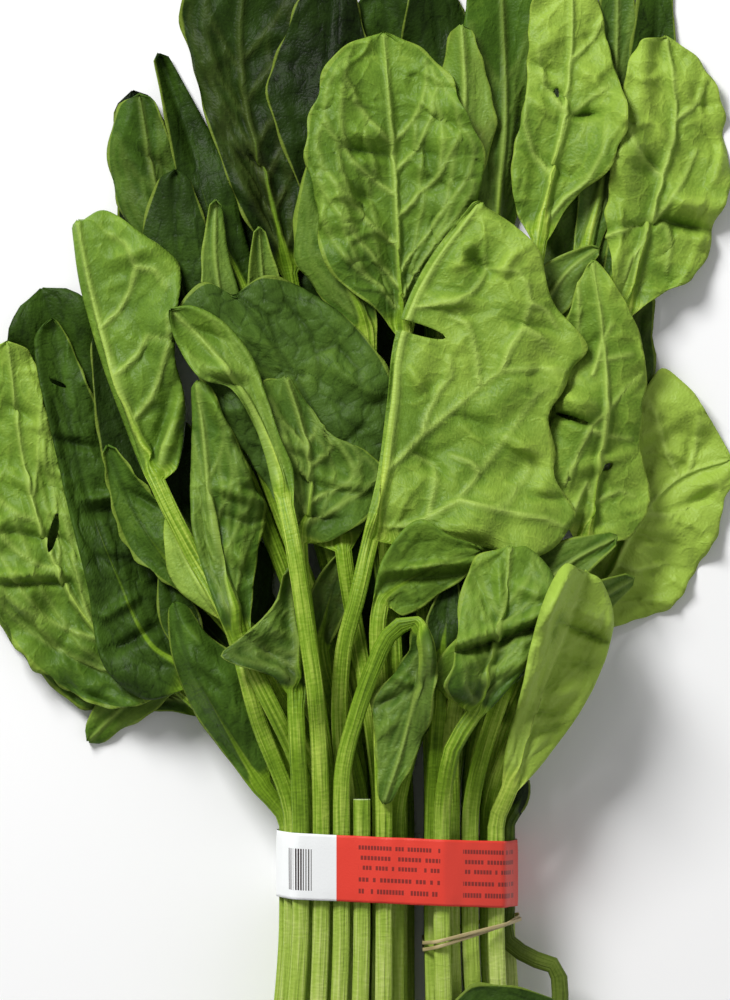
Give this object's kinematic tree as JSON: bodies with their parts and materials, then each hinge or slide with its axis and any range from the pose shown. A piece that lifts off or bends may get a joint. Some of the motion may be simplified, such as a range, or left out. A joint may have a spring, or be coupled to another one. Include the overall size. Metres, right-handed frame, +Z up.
{
  "type": "spinach bunch",
  "caption": "Bunch of fresh spinach lying on its side, stalks held by a red and white paper band and a rubber band, leaves fanned out.",
  "frame": {"origin": "middle of the paper band's flat underside, on the surface that the bunch lies on", "axes": "+Y along the stalks from the band towards the leaf tips, +Z up from the surface, +X to the right seen from above"},
  "size_m": [0.2318, 0.3562, 0.0485],
  "materials": {
    "leaf_dark": "fresh dark green leaf, upper side, satin with raised veins",
    "leaf_green": "fresh green leaf, satin, pale veins",
    "leaf_light": "light yellow-green leaf and stalk, satin",
    "printed_paper": "smooth printed paper, red with a white panel",
    "rubber": "beige rubber, slightly shiny"
  },
  "bodies": {
    "root": {"leaf_under_left": "leaf_dark", "leaf_black_tip": "leaf_dark", "leaf_under_middle_left": "leaf_dark", "leaf_under_middle": "leaf_dark", "leaf_back_dark": "leaf_dark", "leaf_under_right": "leaf_dark", "leaf_under_right_low": "leaf_dark", "leaf_low_left_long": "leaf_dark", "leaf_low_left_tip": "leaf_dark", "leaf_under_left_low": "leaf_dark", "leaf_olive_top_left": "leaf_dark", "leaf_pointed_top_left": "leaf_dark", "leaf_top_left_big": "leaf_dark", "leaf_under_centre_low": "leaf_dark", "leaf_top_curled": "leaf_dark", "leaf_behind_right": "leaf_dark", "leaf_top_grey": "leaf_green", "leaf_corner_tip": "leaf_dark", "leaf_right_light": "leaf_light", "leaf_far_left": "leaf_green", "leaf_left_dark_rolled": "leaf_dark", "leaf_left_shadow": "leaf_dark", "leaf_round_shade": "leaf_dark", "leaf_upright_light": "leaf_light", "leaf_small_upright": "leaf_light", "leaf_top_dark": "leaf_dark", "leaf_back_pale": "leaf_light", "leaf_pointed_right": "leaf_green", "leaf_top_right": "leaf_green", "leaf_right_dark": "leaf_dark", "leaf_right_stub": "leaf_light", "leaf_left_point_down": "leaf_dark", "leaf_left_ruffled": "leaf_dark", "leaf_left_lobe": "leaf_light", "leaf_grey_crumpled": "leaf_dark", "leaf_top_middle_behind": "leaf_dark", "leaf_top_middle": "leaf_green", "leaf_dark_round": "leaf_dark", "leaf_top_bright": "leaf_light", "leaf_right_inner": "leaf_dark", "leaf_right_low_inner": "leaf_dark", "leaf_left_edge": "leaf_dark", "leaf_left_bright": "leaf_light", "leaf_left_folded_mid": "leaf_green", "leaf_hand_shaped": "leaf_dark", "leaf_centre_big": "leaf_green", "leaf_strip_middle": "leaf_dark", "leaf_dark_patch": "leaf_dark", "leaf_right_shaded": "leaf_dark", "leaf_right_stalk": "leaf_dark", "leaf_mid_lobe": "leaf_green", "leaf_centre_folded": "leaf_dark", "stalk_cut_short": "leaf_light", "leaf_hanging_crumpled": "leaf_light", "leaf_rolled_mid": "leaf_green", "leaf_right_folded": "leaf_green", "leaf_right_pale_folded": "leaf_light", "leaf_foot": "leaf_dark", "paper_band": "printed_paper", "rubber_band": "rubber"}
  },
  "joints": []
}
